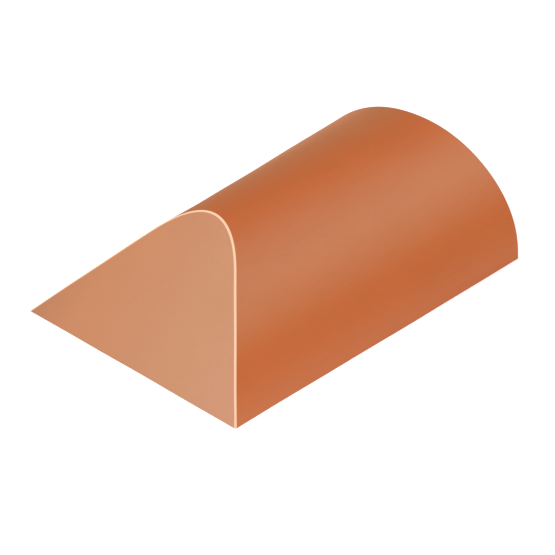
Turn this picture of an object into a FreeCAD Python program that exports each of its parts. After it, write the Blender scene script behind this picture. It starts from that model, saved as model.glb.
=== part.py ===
"""Half round ridge tile, closed at one end by a flat face that leans back.

One piece of fired clay.  The body is lofted from the rim of the leaning face, a triangle
with a rounded top, to the open end, a half-round arch.  A second loft, one wall inside the
first, hollows it from below and through the open end.

Frame: origin at the middle of the footprint, +Y from the closed end to the open end, +X to
the right seen from the closed end, +Z up, feet on Z = 0.
"""
import FreeCAD, Part
import math
import os
import Sketcher
from FreeCAD import Placement, Rotation, Vector

# Driving dimensions, in millimetres and degrees, and one plain share.
DIMENSIONS = {
    "tile_width": 250.0,      # over the two feet
    "tile_length": 362.0,     # from the toe of the leaning face to the open end
    "tile_height": 103.2,     # level crown
    "face_lean": 44.4,        # leaning face, away from upright
    "round_share": 0.4,       # part of the leaning face's sides that its round top takes
    "wall": 14.0,             # thickness of the barrel
    "face_thickness": 15.0,   # thickness of the leaning face
    "rim_round": 1.5,         # softened rim where the leaning face meets the barrel
    "mouth_round": 1.5,       # softened edges of the open end
}

# Sketcher's own numbers for a sketch's axes and for the points of a curve.
X_AXIS, Y_AXIS = -1, -2
START, END, CENTRE = 1, 2, 3

# A point this close to a plane, in millimetres, lies in it.
FLAT = 0.01

# Expressions over the sheet's cells.
HALF = "(Dimensions.tile_width / 2)"
LENGTH = "Dimensions.tile_length"
RISE = "Dimensions.tile_height"
LEAN = "Dimensions.face_lean"
SHARE = "Dimensions.round_share"
WALL = "Dimensions.wall"

# The leaning face's straight sides would meet at an apex above the crown: the round top is
# a parabola that leaves each side its share from the apex, and so peaks half a share below.
APEX = f"({RISE} / (1 - {SHARE} / 2))"

# Inside, sides parallel to the outer ones leave this much of the ground at each foot of the
# closed end, and their apex is lower in proportion.
INNER_HALF = f"({HALF} - {WALL} / sin(atan({APEX} / {HALF})))"
INNER_APEX = f"({APEX} * {INNER_HALF} / {HALF})"
INNER_SHARE = f"(2 * (1 - ({RISE} - {WALL}) / {INNER_APEX}))"


def make_sheet(doc):
    """Put the driving dimensions in a spreadsheet, one alias a row."""
    sheet = doc.addObject("Spreadsheet::Sheet", "Dimensions")
    for row, (alias, value) in enumerate(DIMENSIONS.items(), start=1):
        sheet.set(f"A{row}", alias)
        sheet.set(f"B{row}", str(value))
        sheet.setAlias(f"B{row}", alias)
    doc.recompute()
    return sheet


def new_sketch(body, name, plane_role, turn=0):
    """Add a sketch on one of the body's own origin planes, turned about its X axis."""
    plane = next(item for item in body.Origin.OriginFeatures if item.Role == plane_role)
    sketch = body.newObject("Sketcher::SketchObject", name)
    sketch.AttachmentSupport = [(plane, "")]
    sketch.MapMode = "FlatFace"
    sketch.AttachmentOffset = Placement(Vector(), Rotation(Vector(1, 0, 0), turn))
    return sketch


def bind(sketch, name, constraint, expression):
    """Add a named dimension to a sketch and tie it to the spreadsheet."""
    index = sketch.addConstraint(constraint)
    sketch.renameConstraint(index, name)
    sketch.setExpression(f"Constraints.{name}", expression)


def close_on_ground(sketch, outline, ground):
    """Join an outline's feet with a line on the ground."""
    sketch.addConstraint([
        Sketcher.Constraint("Coincident", outline, END, ground, START),
        Sketcher.Constraint("Coincident", ground, END, outline, START),
    ])


def leaning_sketch(body, name, inset, half, apex, share):
    """Draw a triangle with a rounded top in a plane that leans back from the toe.

    The outline is one quadratic spline of three spans.  Its poles are the feet, a point on
    each side and the apex, and the two sides come out straight because three poles in a row
    lie on each.  Heights are given upright, and grow by 1 / cos(lean) along the plane.
    """
    sketch = new_sketch(body, name, "XY_Plane", 90 - DIMENSIONS["face_lean"])
    sketch.setExpression("AttachmentOffset.Base.y", f"-{LENGTH} / 2 + {inset}")
    sketch.setExpression("AttachmentOffset.Rotation.Angle", f"90 - {LEAN}")
    # Rough places to start from, which the constraints then move.
    foot, side, top = Vector(100, 0, 0), Vector(80, 26, 0), Vector(0, 130, 0)
    other_side, other_foot = Vector(-80, 26, 0), Vector(-100, 0, 0)
    spline = Part.BSplineCurve()
    spline.buildFromPolesMultsKnots(
        [foot, side, top, other_side, other_foot], [3, 1, 1, 3], [0, 1, 2, 3], False, 2)
    outline, ground = sketch.addGeometry([spline, Part.LineSegment(other_foot, foot)])
    sketch.exposeInternalGeometry(outline)
    side_pole, apex_pole, other_pole = ground + 2, ground + 3, ground + 4
    close_on_ground(sketch, outline, ground)
    sketch.addConstraint([
        Sketcher.Constraint("Horizontal", ground),
        Sketcher.Constraint("Symmetric", ground, START, ground, END, X_AXIS, START),
        Sketcher.Constraint("PointOnObject", apex_pole, CENTRE, Y_AXIS),
        Sketcher.Constraint("Symmetric", side_pole, CENTRE, other_pole, CENTRE, Y_AXIS),
    ])
    width = Sketcher.Constraint("DistanceX", ground, START, ground, END, 2 * foot.x)
    bind(sketch, "Width", width, f"2 * {half}")
    height = Sketcher.Constraint("DistanceY", X_AXIS, START, apex_pole, CENTRE, top.y)
    bind(sketch, "Apex", height, f"{apex} / cos({LEAN})")
    across = Sketcher.Constraint("DistanceX", X_AXIS, START, side_pole, CENTRE, side.x)
    bind(sketch, "SideAcross", across, f"2 * {share} * {half}")
    up = Sketcher.Constraint("DistanceY", X_AXIS, START, side_pole, CENTRE, side.y)
    bind(sketch, "SideUp", up, f"(1 - 2 * {share}) * {apex} / cos({LEAN})")
    return sketch


def arch_sketch(body, name, inset):
    """Draw half an ellipse, upright at the feet, in the plane of the open end."""
    sketch = new_sketch(body, name, "XZ_Plane")
    sketch.setExpression("AttachmentOffset.Base.z", f"-{LENGTH} / 2")
    # Rough sizes to start from, which the constraints then change.
    foot, top = Vector(100, 0, 0), Vector(0, 80, 0)
    half_turn = Part.ArcOfEllipse(Part.Ellipse(foot, top, Vector()), 0, math.pi)
    outline, ground = sketch.addGeometry([half_turn, Part.LineSegment(-foot, foot)])
    sketch.exposeInternalGeometry(outline)
    across, upright = ground + 1, ground + 2
    close_on_ground(sketch, outline, ground)
    sketch.addConstraint([
        Sketcher.Constraint("Coincident", outline, CENTRE, X_AXIS, START),
        Sketcher.Constraint("Horizontal", across),
        Sketcher.Constraint("PointOnObject", outline, START, X_AXIS),
        Sketcher.Constraint("PointOnObject", outline, END, X_AXIS),
    ])
    width = Sketcher.Constraint("Distance", across, 2 * foot.x)
    bind(sketch, "Width", width, f"2 * ({HALF} - {inset})")
    rise = Sketcher.Constraint("Distance", upright, 2 * top.y)
    bind(sketch, "Rise", rise, f"2 * ({RISE} - {inset})")
    return sketch


def loft(body, kind, name, sections):
    """Span two outlines with straight lines, edge by edge."""
    feature = body.newObject(f"PartDesign::{kind}Loft", name)
    feature.Profile = sections[0]
    feature.Sections = sections[1:]
    feature.Ruled = True
    return feature


def soften(body, name, size, on_plane):
    """Round the edges, other than those on the ground, that lie in the given plane."""
    base = body.Tip
    edges = []
    for number, edge in enumerate(base.Shape.Edges, start=1):
        points = edge.discretize(5)
        off_ground = points[2].z > FLAT
        if off_ground and all(abs(on_plane(point)) < FLAT for point in points):
            edges.append(f"Edge{number}")
    feature = body.newObject("PartDesign::Fillet", name)
    feature.Base = (base, edges)
    feature.setExpression("Radius", size)


def make_tile(doc):
    """Build the tile as one body."""
    body = doc.addObject("PartDesign::Body", "RidgeTile")
    body.Label = "ridge_tile"
    body.Placement = Placement()

    face_rim = leaning_sketch(body, "FaceRim", "0", HALF, APEX, SHARE)
    end_arch = arch_sketch(body, "EndArch", "0")
    loft(body, "Additive", "Shell", [face_rim, end_arch])

    inset = f"Dimensions.face_thickness / cos({LEAN})"
    cavity_rim = leaning_sketch(body, "CavityRim", inset, INNER_HALF, INNER_APEX, INNER_SHARE)
    cavity_arch = arch_sketch(body, "CavityArch", WALL)
    loft(body, "Subtractive", "Cavity", [cavity_rim, cavity_arch])
    doc.recompute()

    reach = DIMENSIONS["tile_length"] / 2
    lean = math.tan(math.radians(DIMENSIONS["face_lean"]))
    soften(body, "SoftRim", "Dimensions.rim_round", lambda point: point.y + reach - lean * point.z)
    doc.recompute()
    soften(body, "SoftMouth", "Dimensions.mouth_round", lambda point: point.y - reach)


def check(doc):
    """Stop if any object failed to rebuild or any body is not one valid solid."""
    for item in doc.Objects:
        if "Invalid" in item.State or "Error" in item.State:
            raise RuntimeError(f"{item.Name} failed: {item.State}")
    for body in doc.findObjects("PartDesign::Body"):
        shape = body.Shape
        if shape.isNull() or not shape.isValid() or len(shape.Solids) != 1:
            raise RuntimeError(f"{body.Label} is not one valid solid")


def main():
    doc = FreeCAD.newDocument("RidgeTile")
    make_sheet(doc)
    make_tile(doc)
    doc.recompute()
    check(doc)
    os.makedirs("parts", exist_ok=True)
    for body in doc.findObjects("PartDesign::Body"):
        body.Shape.exportStep(f"parts/{body.Label}.step")
        print(body.Label, round(body.Shape.Volume), body.Shape.optimalBoundingBox(False, False))


main()
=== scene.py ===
"""Half round ridge tile of fired terracotta, closed at one end by a leaning face."""
import math

import bmesh
import bpy
import numpy as np
from bpy.props import FloatProperty, FloatVectorProperty, PointerProperty, StringProperty
from mathutils import Matrix, Vector


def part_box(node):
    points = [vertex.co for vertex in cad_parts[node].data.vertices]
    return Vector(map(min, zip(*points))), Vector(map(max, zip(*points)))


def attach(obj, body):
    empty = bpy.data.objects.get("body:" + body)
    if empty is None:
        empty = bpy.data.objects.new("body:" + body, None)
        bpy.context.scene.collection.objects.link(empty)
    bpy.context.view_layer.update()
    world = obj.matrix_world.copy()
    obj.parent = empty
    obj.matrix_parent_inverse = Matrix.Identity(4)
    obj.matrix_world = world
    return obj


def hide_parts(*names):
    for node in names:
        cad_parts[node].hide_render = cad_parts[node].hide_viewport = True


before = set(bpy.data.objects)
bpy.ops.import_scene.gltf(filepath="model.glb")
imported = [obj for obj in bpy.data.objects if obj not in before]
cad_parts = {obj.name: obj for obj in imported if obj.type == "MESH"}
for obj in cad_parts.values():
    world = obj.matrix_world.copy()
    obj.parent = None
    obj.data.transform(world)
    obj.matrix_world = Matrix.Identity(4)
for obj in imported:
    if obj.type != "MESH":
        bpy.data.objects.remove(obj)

bl_info = {
    "name": "Half Round Ridge Tile",
    "version": (1, 0, 0),
    "blender": (4, 5, 0),
    "location": "View3D > Sidebar > Ridge Tile",
    "description": "Makes a fired clay half round ridge tile and the studio it is shown in",
    "category": "Object",
}

NODE = "ridge_tile"
LOW, HIGH = (Vector(corner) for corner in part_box(NODE))
SIZE = HIGH - LOW
MM = 0.001

# Which part of the skin a face of the mesh belongs to.
BARREL, FACE, INSIDE, CUT = range(4)


class RidgeTileShape(bpy.types.PropertyGroup):
    """Sizes of the tile that its overall box does not give."""

    lean: FloatProperty(
        name="Lean", description="Lean of the closed end away from upright",
        default=math.radians(44.4), subtype="ANGLE")
    round_share: FloatProperty(
        name="Round Share", description="Part of the leaning face's sides that its top takes",
        default=0.4, subtype="FACTOR", min=0.1, max=0.5)
    wall: FloatProperty(
        name="Wall", description="Thickness of the barrel", default=14 * MM, unit="LENGTH")
    face_wall: FloatProperty(
        name="Face Thickness", description="Thickness of the leaning face",
        default=15 * MM, unit="LENGTH")
    wear: FloatProperty(
        name="Wear", description="Radius that handling and firing leave on each edge",
        default=1.2 * MM, unit="LENGTH")
    warp: FloatProperty(
        name="Warp", description="How far drying and firing pull the clay out of true",
        default=0.2 * MM, unit="LENGTH")


class RidgeTileClay(bpy.types.PropertyGroup):
    """Colours of the fired clay and of the highlight painted on its rim, as sRGB hex."""

    # Colour of the highlight painted along the rim of the closed end.
    painted_rim_highlight: StringProperty(
        name="Painted Rim Highlight", description="Rim of the closed end", default="#FFD3B0")
    inside: StringProperty(
        name="Inside", description="Hollow underside", default="#BE6E45")
    cut: StringProperty(
        name="Cut", description="Wire-cut feet and open end", default="#C97F55")


class RidgeTileStudio(bpy.types.PropertyGroup):
    """Camera and light."""

    azimuth: FloatProperty(
        name="Azimuth", description="Camera's turn from straight in front of the closed end",
        default=math.radians(43.745), subtype="ANGLE")
    elevation: FloatProperty(
        name="Elevation", description="Camera's height above level",
        default=math.radians(30.886), subtype="ANGLE")
    distance: FloatProperty(
        name="Distance", description="Camera to the point it looks at",
        default=1.5, unit="LENGTH")
    lens: FloatProperty(
        name="Lens", description="Focal length in millimetres on a 36 mm sensor",
        default=110.5)
    look_at: FloatVectorProperty(
        name="Look At", description="Point the camera looks at",
        default=(-0.00383, 0.00039, 0.00489), subtype="XYZ", unit="LENGTH")
    sky: FloatProperty(
        name="Sky", description="Strength of the even light from all round", default=0.93)
    key: FloatProperty(
        name="Key", description="Power of the large soft lamp, in watts", default=9.0)


# ---------------------------------------------------------------- outlines

def leaning_outline(u, half, apex, share):
    """Right foot to left foot of a triangle with a rounded top, as (across, up).

    One quadratic spline of three equal spans.  Its poles are the foot, a point twice the
    share down the side from the apex, the apex, and the mirror of the first two.  In a span
    a point is (1 - v)^2 start + 2 v (1 - v) pole + v^2 end, and spans join half way between
    poles, so each side is straight and the top is a parabola.
    """
    mirror = np.array([-1.0, 1.0])
    foot, top = np.array([half, 0.0]), np.array([0.0, apex])
    side = np.array([2 * share * half, (1 - 2 * share) * apex])
    joint = (side + top) / 2
    poles = np.array([side, top, side * mirror])
    joints = np.array([foot, joint, joint * mirror, foot * mirror])
    span = np.clip(np.floor(3 * u), 0, 2).astype(int)
    v = (3 * u - span)[:, None]
    return (1 - v) ** 2 * joints[span] + 2 * v * (1 - v) * poles[span] + v ** 2 * joints[span + 1]


def lean_back(outline, lean, toe):
    """Stand an outline up in the plane that leans back from the toe line."""
    across, up = outline[:, 0], outline[:, 1]
    return np.stack([across, toe + up * math.sin(lean), up * math.cos(lean)], axis=1)


def arch(u, half, rise):
    """Right foot to left foot of the open end: (half cos, rise sin) of pi u."""
    turn = math.pi * u
    return np.stack([half * np.cos(turn), np.full(len(u), HIGH.y), rise * np.sin(turn)], axis=1)


def outer_apex(shape):
    """Height that the face's straight sides aim at: its round top peaks half a share below."""
    return SIZE.z / (1 - shape.round_share / 2)


def outer_skin(shape, u):
    """Rim of the leaning face and outer arch of the open end."""
    half, rise, lean, share = SIZE.x / 2, SIZE.z, shape.lean, shape.round_share
    apex = outer_apex(shape)
    rim = leaning_outline(u, half, apex / math.cos(lean), share)
    return lean_back(rim, lean, LOW.y), arch(u, half, rise)


def inner_skin(shape, u):
    """The same two curves of the hollow, one wall inside and with parallel sides."""
    half, rise, lean, wall = SIZE.x / 2, SIZE.z, shape.lean, shape.wall
    apex = outer_apex(shape)
    inner_half = half - wall / math.sin(math.atan2(apex, half))
    inner_apex = apex * inner_half / half
    share = 2 * (1 - (rise - wall) / inner_apex)
    rim = leaning_outline(u, inner_half, inner_apex / math.cos(lean), share)
    toe = LOW.y + shape.face_wall / math.cos(lean)
    return lean_back(rim, lean, toe), arch(u, half - wall, rise - wall)


# ---------------------------------------------------------------- patches

# Rows this far from an edge are close enough together to round it, all in metres.
CLOSE = 0.5 * MM * np.arange(6)

# Rows between the close ones: round the arch, along the barrel, along the toe, from the
# middle of a leaning face to its edge, and across the thickness of the clay.
ROUND_ROWS, LONG_ROWS, TOE_ROWS, LEAF_ROWS, WALL_ROWS = 150, 66, 60, 22, 4

# Rough length round the arch in metres, which turns the close rows into steps of 0 to 1.
ROUND_LENGTH = 0.33

# Points nearer to each other than this are one point, in metres.
SAME = 0.01 * MM

# How far up a leaning face its middle lies, from the toe line to the top.
LEAF_MIDDLE = 0.35


def ruled(first, last, rows, start=True, end=True):
    """Straight lines from one curve to another: first (1 - t) + last t.

    The rows between are even, and close together beside each end that is an edge.
    """
    length = np.linalg.norm(last - first, axis=1)[:, None]
    near = CLOSE / length if start else np.zeros((len(first), 1))
    far = 1 - CLOSE[::-1] / length if end else np.ones((len(first), 1))
    even = np.linspace(0, 1, rows + 2)[None, 1:-1]
    between = near[:, -1:] * (1 - even) + far[:, :1] * even
    t = np.hstack([near, between, far])[:, :, None]
    return first[:, None, :] * (1 - t) + last[:, None, :] * t


def steps_round(count):
    """Even steps from 0 to 1, close together beside each foot of the arch."""
    feet = np.array([[0.0, 0, 0], [ROUND_LENGTH, 0, 0]])
    return ruled(feet[:1], feet[1:], count)[0, :, 0] / ROUND_LENGTH


class Patches:
    """Grids gathered into one mesh, with a zone and a place round the arch for each."""

    def __init__(self):
        self.points, self.quads, self.zones, self.around, self.count = [], [], [], [], 0

    def add(self, grid, zone, around, flip=False, wrap=False):
        """Add a grid's quads; wrap joins its last row to its first.

        A quad faces along (next row) x (next column), or the other way if it is flipped.
        """
        rows, columns = grid.shape[:2]
        index = np.arange(rows * columns).reshape(rows, columns) + self.count
        index = np.vstack([index, index[:1]]) if wrap else index
        corners = [index[:-1, :-1], index[1:, :-1], index[1:, 1:], index[:-1, 1:]]
        quads = np.stack(corners[::-1] if flip else corners, axis=-1).reshape(-1, 4)
        self.points.append(grid.reshape(-1, 3))
        self.quads.append(quads)
        self.zones.append(np.full(len(quads), zone, dtype=np.float32))
        self.around.append(np.repeat(around, columns).astype(np.float32))
        self.count += rows * columns

    def mesh(self, name):
        """One closed mesh: points where patches meet are merged.

        Every edge has to join two faces that turn the same way.  This finds a patch that is
        turned against the rest, but not a skin that is inside out as a whole.
        """
        mesh = bpy.data.meshes.new(name)
        mesh.from_pydata(np.vstack(self.points), [], np.vstack(self.quads))
        zone = mesh.attributes.new("zone", "FLOAT", "FACE")
        zone.data.foreach_set("value", np.concatenate(self.zones))
        around = mesh.attributes.new("around", "FLOAT", "POINT")
        around.data.foreach_set("value", np.concatenate(self.around))
        work = bmesh.new()
        work.from_mesh(mesh)
        bmesh.ops.remove_doubles(work, verts=work.verts, dist=SAME)
        if any(not edge.is_contiguous for edge in work.edges):
            raise RuntimeError("the tile's skin is open, or a patch is turned against the rest")
        work.to_mesh(mesh)
        work.free()
        return mesh


def add_leaf(patches, rim, toe, zone, u, flip):
    """Fill a leaning face from its middle outwards: middle + s (edge - middle).

    The edge is the rim from foot to foot and back along the toe line.
    """
    edge = np.vstack([rim, toe[1:-1]])
    around = np.concatenate([u, np.linspace(1, 0, len(toe))[1:-1]])
    bottom, top = (rim[0] + rim[-1]) / 2, rim[len(rim) // 2]
    middle = (1 - LEAF_MIDDLE) * bottom + LEAF_MIDDLE * top
    centre = np.broadcast_to(middle, edge.shape)
    patches.add(ruled(centre, edge, LEAF_ROWS, start=False), zone, around, flip, wrap=True)


def tile_skin(shape):
    """Outer skin, inner skin and the cut strips between them, as one closed mesh."""
    u = steps_round(ROUND_ROWS)
    rim, mouth = outer_skin(shape, u)
    inner_rim, inner_mouth = inner_skin(shape, u)
    outside, inside = ruled(rim, mouth, LONG_ROWS), ruled(inner_rim, inner_mouth, LONG_ROWS)
    toe = ruled(rim[-1:], rim[:1], TOE_ROWS)[0]
    inner_toe = ruled(inner_rim[-1:], inner_rim[:1], TOE_ROWS)[0]

    patches = Patches()
    patches.add(outside, BARREL, u, flip=True)
    patches.add(inside, INSIDE, u)
    add_leaf(patches, rim, toe, FACE, u, flip=True)
    add_leaf(patches, inner_rim, inner_toe, INSIDE, u, flip=False)
    foot = outside.shape[1]
    for outer, inner, around, flip in (
            (mouth, inner_mouth, u, True),
            (outside[0], inside[0], np.zeros(foot), True),
            (outside[-1], inside[-1], np.ones(foot), False),
            (toe, inner_toe, np.linspace(1, 0, len(toe)), True)):
        patches.add(ruled(outer, inner, WALL_ROWS), CUT, around, flip)
    return patches.mesh("ridge_tile_skin"), rim


# ---------------------------------------------------------------- wear and warp

# Farthest distance from the rim that is told apart, in millimetres.
RIM_REACH = 9.0

# Steps that each step of the rim is cut into where a distance to it is measured.
RIM_STEPS = 12

# Faces that turn by more than this at an edge, in radians, meet at one that wears.
CREASE = 0.5

# How far wear spreads a corner, as a share of the radius it is to leave.
SPREAD = 0.75

# Wear's share at the ground, and the height in metres in which it grows by a whole share.
FEET_WEAR, FEET_FADE = 0.15, 6 * MM


def positions(mesh):
    """All of a mesh's points, one a row."""
    points = np.empty(len(mesh.vertices) * 3)
    mesh.vertices.foreach_get("co", points)
    return points.reshape(-1, 3)


def mark_rim(mesh, rim):
    """Give each point its distance from the leaning face's rim, in mm, up to RIM_REACH.

    Points near enough are found from every third point of the rim, then measured finely.
    """
    points = positions(mesh)
    beside = np.full(len(points), RIM_REACH)
    coarse = np.min(np.linalg.norm(points[:, None] - rim[None, ::3], axis=2), axis=1)
    near = np.flatnonzero(coarse < RIM_REACH * MM)
    place = np.linspace(0, len(rim) - 1, RIM_STEPS * len(rim))
    fine = np.stack([np.interp(place, np.arange(len(rim)), axis) for axis in rim.T], axis=1)
    gap = np.min(np.linalg.norm(points[near, None] - fine[None], axis=2), axis=1)
    beside[near] = np.minimum(gap / MM, RIM_REACH)
    mark = mesh.attributes.new("from_rim", "FLOAT", "POINT")
    mark.data.foreach_set("value", beside.astype(np.float32))


def worn(mesh, radius):
    """Round the edges: points beside one move half way to their neighbours' mean, often.

    The mean is weighted by 1 / distance^2, so an edge is rounded across and not along.
    Each pass spreads a corner by a variance of half the row spacing squared.  The feet, cut
    on a flat board, stay crisp.
    """
    work = bmesh.new()
    work.from_mesh(mesh)
    creased = [edge.verts[0].index for edge in work.edges if edge.calc_face_angle(0) > CREASE]
    work.free()
    points = positions(mesh)
    ends = np.empty(len(mesh.edges) * 2, dtype=np.int64)
    mesh.edges.foreach_get("vertices", ends)
    ends = ends.reshape(-1, 2)
    one, other = np.concatenate([ends, ends[:, ::-1]]).T
    weight = 1 / np.sum((points[one] - points[other]) ** 2, axis=1)
    total = np.bincount(one, weight, len(points))[:, None]
    free = np.zeros(len(points))
    free[creased] = 1
    for _ in range(len(CLOSE)):
        np.maximum.at(free, one, free[other])
    free *= np.clip(FEET_WEAR + points[:, 2] / FEET_FADE, 0, 1)
    passes = round(2 * (SPREAD * radius / CLOSE[1]) ** 2)
    for _ in range(passes):
        mean = np.stack(
            [np.bincount(one, weight * points[other, axis], len(points)) for axis in range(3)],
            axis=1) / total
        points += 0.5 * free[:, None] * (mean - points)
    return points


def warped(points, amount):
    """Bend points by slow waves, as drying and firing do, then fit them to the tile's box.

    Each axis gets slow waves of the others.  In a wave, a place is divided by the wave's length
    over 2 pi, in millimetres, and a lone number only shifts it.  The waves in height fade out
    over the lowest 12 mm, so the feet stay level.
    """
    x, y, z = (points / MM).T
    wave = np.stack([
        np.sin(y / 47 + 0.8) * np.cos(z / 31) + 0.5 * np.sin(y / 17 + z / 13),
        0.6 * np.sin(x / 39 + 1.1) + 0.5 * np.sin(x / 15 + z / 19 + 0.4),
        (np.sin(x / 35 + y / 61 + 0.3) + 0.5 * np.sin(x / 14 - y / 23)) * np.clip(z / 12, 0, 1),
    ], axis=1)
    bent = points + wave * amount
    low, high = bent.min(axis=0), bent.max(axis=0)
    return np.array(LOW) + (bent - low) / (high - low) * np.array(SIZE)


def build_tile(shape):
    """The tile's mesh, with its edges worn and its skin a little out of true."""
    mesh, rim = tile_skin(shape)
    mark_rim(mesh, rim)
    points = warped(worn(mesh, shape.wear), shape.warp)
    mesh.vertices.foreach_set("co", points.reshape(-1))
    mesh.shade_smooth()
    mesh.update()
    return mesh


# ---------------------------------------------------------------- fired clay

def linear(hex_colour):
    """Turn an sRGB hex colour to linear red, green, blue and full alpha."""
    parts = [int(hex_colour[place:place + 2], 16) / 255 for place in (1, 3, 5)]
    channels = [c / 12.92 if c <= 0.04045 else ((c + 0.055) / 1.055) ** 2.4 for c in parts]
    return (*channels, 1.0)


def add_node(tree, kind, settings=(), links=()):
    """Add a node, set its properties or inputs, and link inputs to other nodes' outputs."""
    node = tree.nodes.new(kind)
    for name, value in dict(settings).items():
        if isinstance(name, str) and hasattr(node, name):
            setattr(node, name, value)
        else:
            node.inputs[name].default_value = value
    for name, source in dict(links).items():
        tree.links.new(source, node.inputs[name])
    return node


def fill_ramp(node, stops):
    """Set a colour ramp's stops from (place, hex) pairs, joined by a smooth curve."""
    ramp = node.color_ramp
    ramp.interpolation = "CARDINAL"
    ramp.elements.remove(ramp.elements[1])
    for number, (place, colour) in enumerate(stops):
        element = ramp.elements[0] if number == 0 else ramp.elements.new(place)
        element.position = place
        element.color = linear(colour)


# Painted light and shade round the barrel from the right foot over the crown to the left foot:
# pale and dark bands, painted as light would fall on the curve, that run the length of the tile.
BARREL_PAINTED_SHADING = [
    (0.00, "#D0784D"), (0.15, "#CA6C3B"), (0.30, "#CC8057"), (0.45, "#C26738"),
    (0.61, "#B36D42"), (0.73, "#C87B52"), (0.86, "#C86B3B"), (1.00, "#D0784D"),
]

# Painted light on the leaning face from its left foot to its right foot: paler than the barrel and
# lighter towards the right foot, as if lit from that side.
FACE_PAINTED_LIGHT = [
    (0.00, "#C08260"), (0.20, "#CB8A63"), (0.50, "#CD8F6B"), (0.75, "#CF9571"),
    (1.00, "#D39679"),
]


# A Mix node's sockets go by number, because several share a name.
FACTOR, NUMBER_A, NUMBER_B, COLOUR_A, COLOUR_B = 0, 2, 3, 6, 7
MIXED_NUMBER, MIXED_COLOUR = 0, 2


def skin_tones(tree, clay, place, around, above):
    """Painted bands of light and shade round the barrel, painted light across the leaning face,
    one tone elsewhere.
    """
    # Painted light and shade: pale and dark bands set by the place round the barrel.
    barrel = add_node(tree, "ShaderNodeValToRGB", links={"Fac": around})
    fill_ramp(barrel, BARREL_PAINTED_SHADING)
    # Painted light across the leaning face: paler than the barrel and lighter towards its right
    # foot.
    across = add_node(tree, "ShaderNodeSeparateXYZ", links={"Vector": place}).outputs["X"]
    side = add_node(
        tree, "ShaderNodeMapRange", {"From Min": LOW.x, "From Max": HIGH.x}, {"Value": across})
    face = add_node(tree, "ShaderNodeValToRGB", links={"Fac": side.outputs["Result"]})
    fill_ramp(face, FACE_PAINTED_LIGHT)
    tone = add_node(
        tree, "ShaderNodeMix", {"data_type": "RGBA"},
        {FACTOR: above[FACE], COLOUR_A: barrel.outputs["Color"],
         COLOUR_B: face.outputs["Color"]}).outputs[MIXED_COLOUR]
    for zone, colour in ((INSIDE, clay.inside), (CUT, clay.cut)):
        tone = add_node(
            tree, "ShaderNodeMix", {"data_type": "RGBA", COLOUR_B: linear(colour)},
            {FACTOR: above[zone], COLOUR_A: tone}).outputs[MIXED_COLOUR]
    return tone


def grit_and_drag(tree, place, cut):
    """Two fine patterns of about 0 to 1: grit, and drag marks left by the making."""
    # Grit 1.2 mm across, drawn over twice its real size so that it shows.
    grit = add_node(
        tree, "ShaderNodeTexNoise", {"Scale": 1 / (1.2 * MM), "Detail": 2.0, "Roughness": 0.6},
        {"Vector": place}).outputs["Fac"]
    # Drag marks: along the barrel 2 mm apart and 60 mm long, left by the mould, and across the
    # cut faces about 2 mm apart and 5 mm long, left by the wire.
    pulled = [
        add_node(
            tree, "ShaderNodeTexNoise", {"Scale": 1.0, "Detail": 1.0, "Roughness": 0.5},
            {"Vector": add_node(
                tree, "ShaderNodeMapping", {"Scale": [1 / (reach * MM) for reach in reaches]},
                {"Vector": place}).outputs[0]}).outputs["Fac"]
        for reaches in ((2, 60, 2), (5, 1.5, 2.5))]
    drag = add_node(
        tree, "ShaderNodeMix", {"data_type": "FLOAT"},
        {FACTOR: cut, NUMBER_A: pulled[0], NUMBER_B: pulled[1]}).outputs[MIXED_NUMBER]
    return grit, drag


def clouded(tree, tone, place, grit, drag, raw):
    """The tone with the kiln's clouding and the fine patterns over it."""
    # Kiln clouding about 40 mm across.
    cloud = add_node(
        tree, "ShaderNodeTexNoise", {"Scale": 1 / (40 * MM), "Detail": 3.0, "Roughness": 0.55},
        {"Vector": place})
    shade = add_node(
        tree, "ShaderNodeMapRange",
        {"From Min": 0.3, "From Max": 0.7, "To Min": 0.985, "To Max": 1.015},
        {"Value": cloud.outputs["Fac"]})
    # Grit and drag together colour the clay by 3% where it is smooth and 9% where it is raw.
    fleck = add_node(tree, "ShaderNodeMath", {"operation": "ADD"}, {0: grit, 1: drag})
    spread = add_node(
        tree, "ShaderNodeMath", {"operation": "SUBTRACT", 1: 1.0}, {0: fleck.outputs[0]})
    depth = add_node(
        tree, "ShaderNodeMapRange", {"To Min": 0.06, "To Max": 0.18}, {"Value": raw})
    speckle = add_node(
        tree, "ShaderNodeMath", {"operation": "MULTIPLY_ADD", 2: 1.0},
        {0: spread.outputs[0], 1: depth.outputs["Result"]})
    both = add_node(
        tree, "ShaderNodeMath", {"operation": "MULTIPLY"},
        {0: shade.outputs["Result"], 1: speckle.outputs[0]})
    return add_node(
        tree, "ShaderNodeVectorMath", {"operation": "SCALE"},
        {0: tone, "Scale": both.outputs[0]}).outputs[0]


def raised(tree, grit, drag, raw):
    """The fine patterns stand up to 0.3 mm high, strongest where the clay is raw."""
    strength = add_node(
        tree, "ShaderNodeMapRange", {"To Min": 0.15, "To Max": 0.5},
        {"Value": raw}).outputs["Result"]
    scored = add_node(
        tree, "ShaderNodeBump", {"Distance": 0.3 * MM}, {"Height": drag, "Strength": strength})
    return add_node(
        tree, "ShaderNodeBump", {"Distance": 0.3 * MM},
        {"Height": grit, "Strength": strength,
         "Normal": scored.outputs["Normal"]}).outputs["Normal"]


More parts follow.
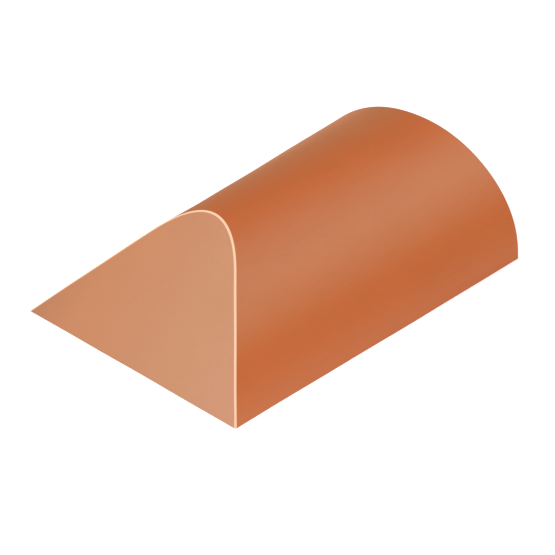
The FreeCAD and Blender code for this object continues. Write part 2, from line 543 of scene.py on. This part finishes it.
def fired_terracotta(clay):
    """Terracotta: iron-red clay pressed in a mould and fired once, with no glaze.

    It is matt, with soft bands of painted light and shade along the barrel, painted light that
    makes the leaning face paler, a painted highlight along its rim, grit of about half a
    millimetre, and drag marks along the barrel.  The hollow and the cut faces never touched the
    smooth mould, so their grit stands open.
    """
    material = bpy.data.materials.new("fired_terracotta")
    material.use_nodes = True
    tree = material.node_tree
    tree.nodes.clear()
    place = add_node(tree, "ShaderNodeTexCoord").outputs["Object"]
    zone, around, from_rim = (
        add_node(tree, "ShaderNodeAttribute", {"attribute_name": name}).outputs["Fac"]
        for name in ("zone", "around", "from_rim"))
    # 1 on the given skin and those numbered after it, and 0 on the rest.
    above = {
        first: add_node(
            tree, "ShaderNodeMath", {"operation": "GREATER_THAN", 1: first - 0.5},
            {0: zone}).outputs[0]
        for first in (FACE, INSIDE, CUT)}
    raw = above[INSIDE]

    tone = skin_tones(tree, clay, place, around, above)
    grit, drag = grit_and_drag(tree, place, above[CUT])
    tone = clouded(tree, tone, place, grit, drag, raw)

    # A painted highlight runs along the rim of the closed end, pale for a millimetre each side.
    painted_rim_highlight = add_node(
        tree, "ShaderNodeMapRange",
        {"From Min": 0.9, "From Max": 1.4, "To Min": 1.0, "To Max": 0.0}, {"Value": from_rim})
    # Painted highlight: the pale rim colour mixed in beside the rim.
    tone = add_node(
        tree, "ShaderNodeMix", {"data_type": "RGBA", COLOUR_B: linear(clay.painted_rim_highlight)},
        {FACTOR: painted_rim_highlight.outputs["Result"], COLOUR_A: tone}).outputs[MIXED_COLOUR]

    shader = add_node(
        tree, "ShaderNodeBsdfPrincipled",
        {"Roughness": 0.9, "IOR": 1.45, "Specular IOR Level": 0.2},
        {"Base Color": tone, "Normal": raised(tree, grit, drag, raw)})
    add_node(tree, "ShaderNodeOutputMaterial", links={"Surface": shader.outputs[0]})
    return material


class MakeRidgeTile(bpy.types.Operator):
    """Make the fired clay tile in place of its plain frame"""

    bl_idname = "ridge_tile.make_tile"
    bl_label = "Make Tile"

    def execute(self, context):
        scene = context.scene
        mesh = build_tile(scene.ridge_tile_shape)
        tile = bpy.data.objects.new("ridge_tile_clay", mesh)
        scene.collection.objects.link(tile)
        mesh.materials.append(fired_terracotta(scene.ridge_tile_clay))
        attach(tile, "root")
        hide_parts(NODE)
        return {"FINISHED"}


# ---------------------------------------------------------------- studio

# Half the floor's width, and the lamp's place and width, all in metres.
FLOOR_REACH = 6.0
LAMP_PLACE, LAMP_WIDTH = (-0.9, -1.5, 2.0), 1.6

# Width of the camera's sensor in millimetres.
SENSOR = 36.0


def seen_plain(tree):
    """1 for a ray from the camera, from gloss or through glass, and 0 for any other."""
    path = add_node(tree, "ShaderNodeLightPath")
    seen = path.outputs["Is Camera Ray"]
    for other in ("Is Glossy Ray", "Is Transmission Ray"):
        seen = add_node(
            tree, "ShaderNodeMath", {"operation": "MAXIMUM"},
            {0: seen, 1: path.outputs[other]}).outputs[0]
    return seen


def white_board():
    """Matt white board: the camera sees it white, darker only where the tile shades it."""
    material = bpy.data.materials.new("matt_white_board")
    material.use_nodes = True
    tree = material.node_tree
    tree.nodes.clear()
    board = add_node(tree, "ShaderNodeBsdfDiffuse", {"Color": (0.8, 0.8, 0.8, 1)})
    glow = add_node(
        tree, "ShaderNodeEmission", {"Color": (1, 1, 1, 1), "Strength": 0.45})
    lit = add_node(tree, "ShaderNodeAddShader", links={0: board.outputs[0], 1: glow.outputs[0]})
    pick = add_node(
        tree, "ShaderNodeMixShader",
        links={0: seen_plain(tree), 1: board.outputs[0], 2: lit.outputs[0]})
    add_node(tree, "ShaderNodeOutputMaterial", links={"Surface": pick.outputs[0]})
    return material


def lay_floor(scene):
    """A square floor on the ground, with the tile at its middle."""
    corners = [
        (x * FLOOR_REACH, y * FLOOR_REACH, LOW.z) for x, y in ((-1, -1), (1, -1), (1, 1), (-1, 1))]
    mesh = bpy.data.meshes.new("floor")
    mesh.from_pydata(corners, [], [(0, 1, 2, 3)])
    mesh.materials.append(white_board())
    floor = bpy.data.objects.new("floor", mesh)
    scene.collection.objects.link(floor)


def studio_sky(scene, strength):
    """Even white light from all round, seen as plain white by the camera and in gloss."""
    world = bpy.data.worlds.new("studio_sky")
    scene.world = world
    world.use_nodes = True
    tree = world.node_tree
    tree.nodes.clear()
    level = add_node(
        tree, "ShaderNodeMapRange", {"To Min": strength, "To Max": 1.0},
        {"Value": seen_plain(tree)})
    sky = add_node(
        tree, "ShaderNodeBackground", {"Color": (1, 1, 1, 1)},
        {"Strength": level.outputs["Result"]})
    add_node(tree, "ShaderNodeOutputWorld", links={"Surface": sky.outputs[0]})


def key_lamp(scene, watts):
    """A large square lamp aimed at the middle of the tile."""
    lamp = bpy.data.lights.new("key_lamp", "AREA")
    lamp.shape = "SQUARE"
    lamp.size = LAMP_WIDTH
    lamp.energy = watts
    holder = bpy.data.objects.new("key_lamp", lamp)
    scene.collection.objects.link(holder)
    aim = Vector((0, 0, SIZE.z / 2)) - Vector(LAMP_PLACE)
    holder.location = LAMP_PLACE
    holder.rotation_euler = aim.to_track_quat("-Z", "Y").to_euler()


def studio_camera(scene, studio):
    """A camera without roll, turned and raised about the point it looks at."""
    a, e = studio.azimuth, studio.elevation
    right = Vector((math.cos(a), math.sin(a), 0))
    ahead = Vector((-math.sin(a) * math.cos(e), math.cos(a) * math.cos(e), -math.sin(e)))
    up = right.cross(ahead)
    camera = bpy.data.objects.new("camera", bpy.data.cameras.new("camera"))
    camera.data.lens = studio.lens
    camera.data.sensor_width = SENSOR
    turn = Matrix((right, up, -ahead)).transposed()
    where = Vector(studio.look_at) - ahead * studio.distance
    camera.matrix_world = Matrix.Translation(where) @ turn.to_4x4()
    scene.collection.objects.link(camera)
    scene.camera = camera


class MakeStudio(bpy.types.Operator):
    """Lay the floor, light the tile and set up the camera"""

    bl_idname = "ridge_tile.make_studio"
    bl_label = "Make Studio"

    def execute(self, context):
        scene = context.scene
        studio = scene.ridge_tile_studio
        lay_floor(scene)
        studio_sky(scene, studio.sky)
        key_lamp(scene, studio.key)
        studio_camera(scene, studio)
        scene.view_settings.view_transform = "Standard"
        return {"FINISHED"}


class RidgeTilePanel(bpy.types.Panel):
    """Sizes, colours and the two steps"""

    bl_idname = "VIEW3D_PT_ridge_tile"
    bl_label = "Ridge Tile"
    bl_space_type = "VIEW_3D"
    bl_region_type = "UI"
    bl_category = "Ridge Tile"

    def draw(self, context):
        for group in (context.scene.ridge_tile_shape, context.scene.ridge_tile_clay,
                      context.scene.ridge_tile_studio):
            box = self.layout.box()
            for name in group.__annotations__:
                box.prop(group, name)
        self.layout.operator(MakeRidgeTile.bl_idname)
        self.layout.operator(MakeStudio.bl_idname)


CLASSES = (RidgeTileShape, RidgeTileClay, RidgeTileStudio, MakeRidgeTile, MakeStudio,
           RidgeTilePanel)


def register():
    for item in CLASSES:
        bpy.utils.register_class(item)
    bpy.types.Scene.ridge_tile_shape = PointerProperty(type=RidgeTileShape)
    bpy.types.Scene.ridge_tile_clay = PointerProperty(type=RidgeTileClay)
    bpy.types.Scene.ridge_tile_studio = PointerProperty(type=RidgeTileStudio)


def unregister():
    del bpy.types.Scene.ridge_tile_studio
    del bpy.types.Scene.ridge_tile_clay
    del bpy.types.Scene.ridge_tile_shape
    for item in reversed(CLASSES):
        bpy.utils.unregister_class(item)


def main():
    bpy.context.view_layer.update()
    register()
    bpy.ops.ridge_tile.make_studio()
    bpy.ops.ridge_tile.make_tile()


if __name__ == "__main__":
    main()
